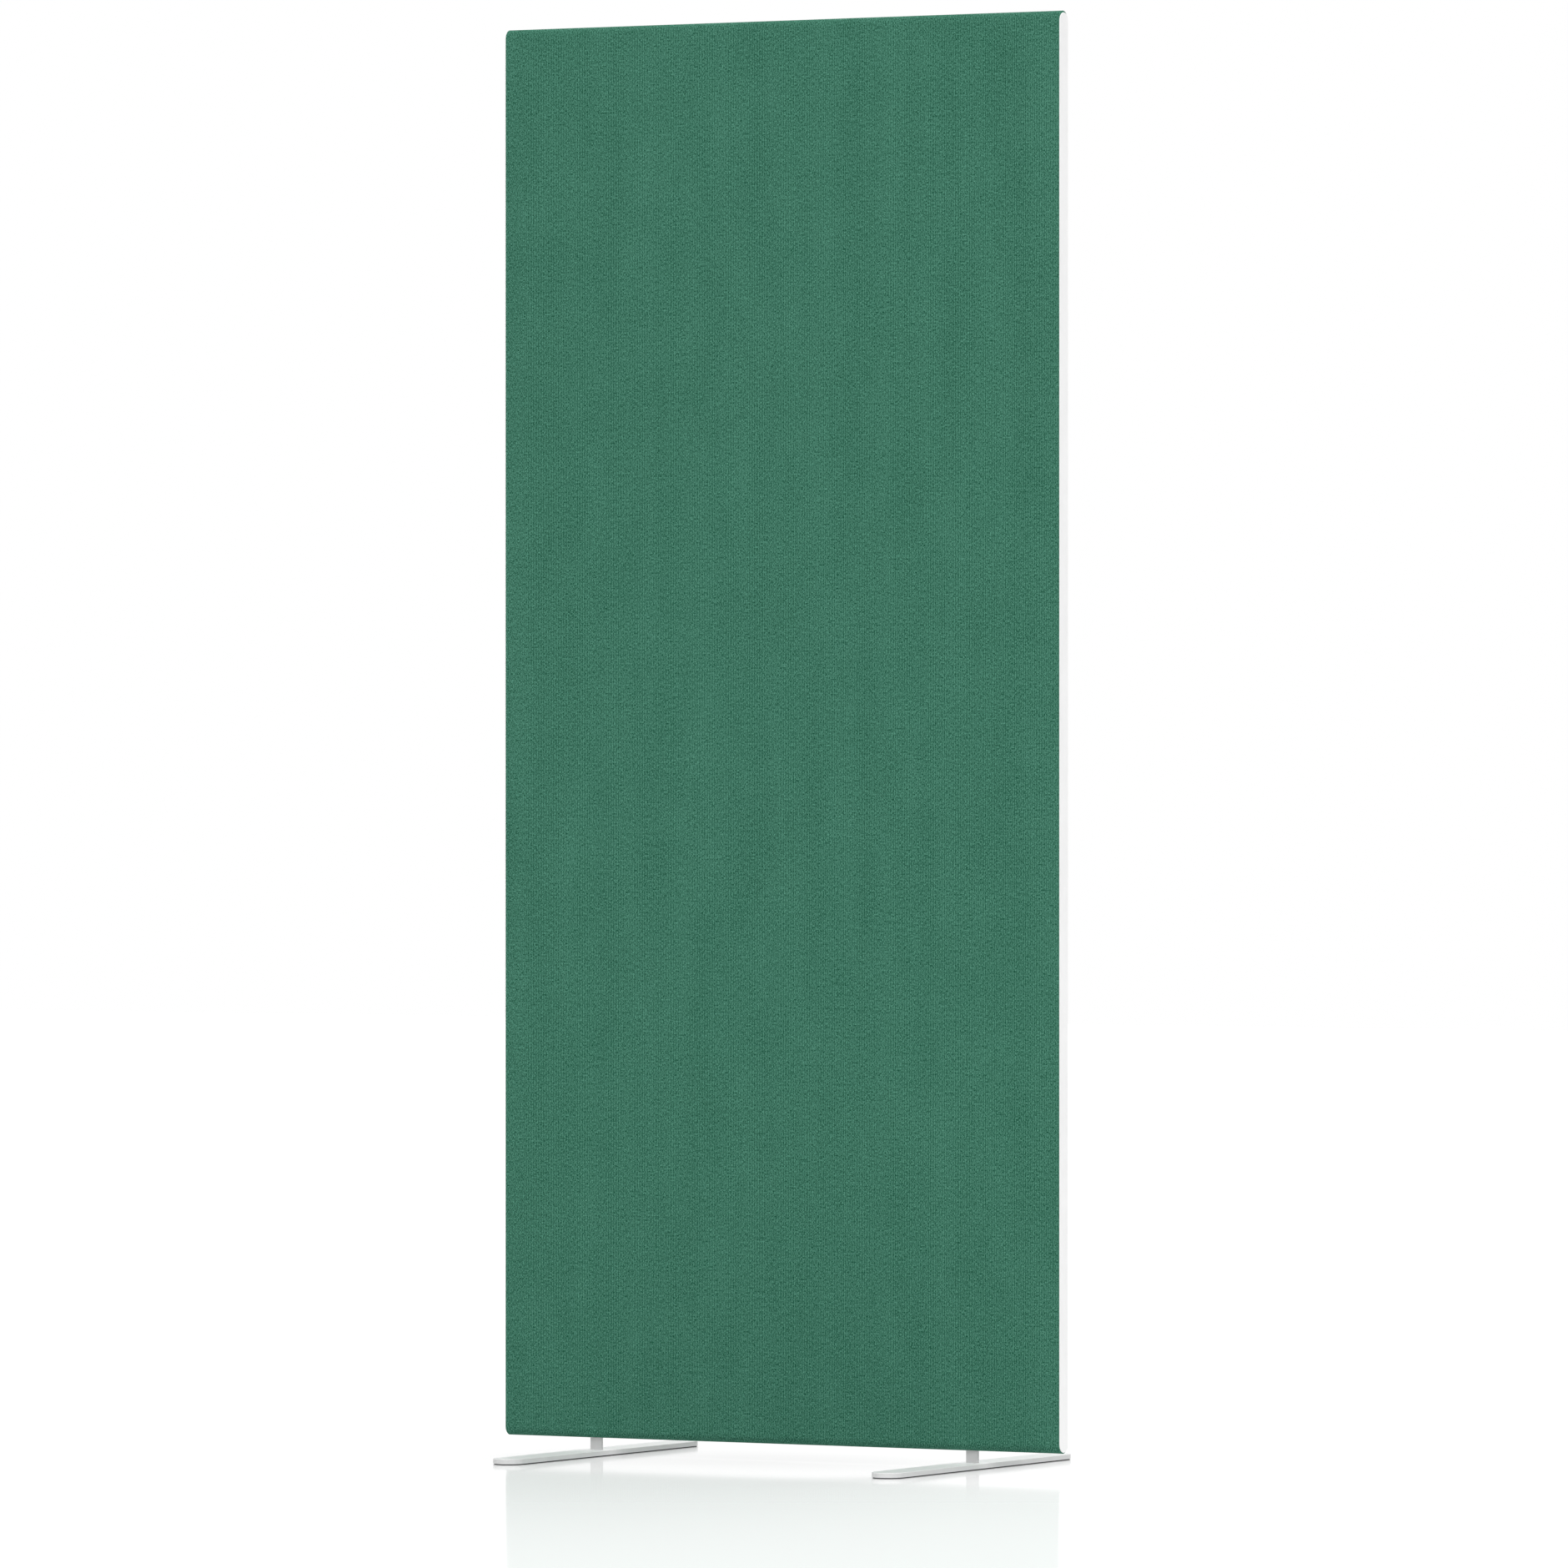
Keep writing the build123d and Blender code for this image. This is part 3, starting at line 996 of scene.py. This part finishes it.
def wood(name, pale, dark, size):
    """Timber with growth rings: noise stretched along the grain, folded to and fro, with pores."""
    material, tree, shader = fresh_material(name)
    where = object_place(tree)
    rings = spread(tree, grain(tree, where, size, detail=3.0), 0.0, ring_count)
    pores = grain(tree, where, [length / pores_in_ring for length in size], detail=2.0)
    rings = product(tree, math_node(tree, "PINGPONG", rings, 1.0), ring_share)
    share = total(tree, rings, spread(tree, pores, 0.0, pore_share))
    tone = blend_colours(tree, share, pale, dark)
    coat(tree, shader, tone, spread(tree, pores, 0.55, 0.75), pores, strength=0.3, depth=0.1 * mm)
    return material


pine_tones = (colour(222, 190, 140), colour(186, 142, 92))
beech_tones = (colour(214, 174, 128), colour(192, 146, 100))
rail_wood = wood("pine_along_x", *pine_tones, (160 * mm, 7 * mm, 7 * mm))
stile_wood = wood("pine_along_z", *pine_tones, (7 * mm, 7 * mm, 160 * mm))
dowel_wood = wood("beech_dowel", *beech_tones, (4 * mm, 4 * mm, 30 * mm))
dress(rail_wood, "top_rail", "middle_rail", "bottom_rail")
dress(stile_wood, "left_stile", "right_stile")
dress(dowel_wood, "corner_dowels", "middle_rail_dowels")
print("dressed:", rail_wood.name, stile_wood.name, dowel_wood.name)

# %% [markdown]
# ## Hidden board and felt
#
# The bays of the frame are filled with fibre board, which swallows sound, and felt sheets lie over it
# to make the cloth soft. Both are tangles of fibres pressed together, so one function serves them:
# two tones mixed by fine noise, with a bump to match.

# %% Board and felt
roughness_play = 0.05


def pressed_fibres(name, tones, size, roughness, depth):
    """A felted or pressed material: two colours mixed by fine noise, with a bump to match."""
    material, tree, shader = fresh_material(name)
    flecks = grain(tree, object_place(tree), size, detail=4.0, roughness=0.7)
    tone = blend_colours(tree, spread(tree, flecks, 0.0, 1.0), *tones)
    uneven = spread(tree, flecks, roughness - roughness_play, roughness + roughness_play)
    coat(tree, shader, tone, uneven, flecks, strength=0.5, depth=depth)
    return material


board_tones = (colour(160, 140, 104), colour(206, 186, 148))
felt_tones = (colour(158, 155, 148), colour(186, 184, 178))
board_size = (3 * mm, 1.5 * mm, 3 * mm)
felt_size = (1.2 * mm, 1.2 * mm, 3 * mm)
board = pressed_fibres("fibre_board", board_tones, board_size, roughness=0.9, depth=0.3 * mm)
felt = pressed_fibres("pressed_felt", felt_tones, felt_size, roughness=0.93, depth=0.2 * mm)
dress(board, "upper_core", "lower_core")
dress(felt, "front_liner", "rear_liner")
print("dressed:", board.name, felt.name)

# %% [markdown]
# ## Hidden steel
#
# The feet stand in steel pockets, held by screws. Both are zinc-plated against rust, the screws with
# a yellow tint. Zinc has faint cloudy crystals, which show as patches of different gloss.

# %% Zinc plate
zinc_light = colour(205, 207, 208)


def plated(name, tint, size):
    """Zinc-plated steel: metal with cloudy tone and roughness, and a very shallow bump."""
    material, tree, shader = fresh_material(name)
    crystals = grain(tree, object_place(tree), size, detail=3.0)
    tone = blend_colours(tree, spread(tree, crystals, 0.0, 1.0), tint, zinc_light)
    uneven = spread(tree, crystals, 0.28, 0.5)
    coat(tree, shader, tone, uneven, crystals, strength=0.15, depth=0.05 * mm)
    shader.inputs["Metallic"].default_value = 1.0
    return material


pocket_steel = plated("zinc_plate", colour(176, 180, 184), (6 * mm, 6 * mm, 14 * mm))
screw_steel = plated("yellow_zinc", colour(196, 186, 150), (2 * mm, 2 * mm, 4 * mm))
dress(pocket_steel, "left_foot_socket", "right_foot_socket")
dress(screw_steel, "socket_screws")
print("materials:", len(bpy.data.materials))
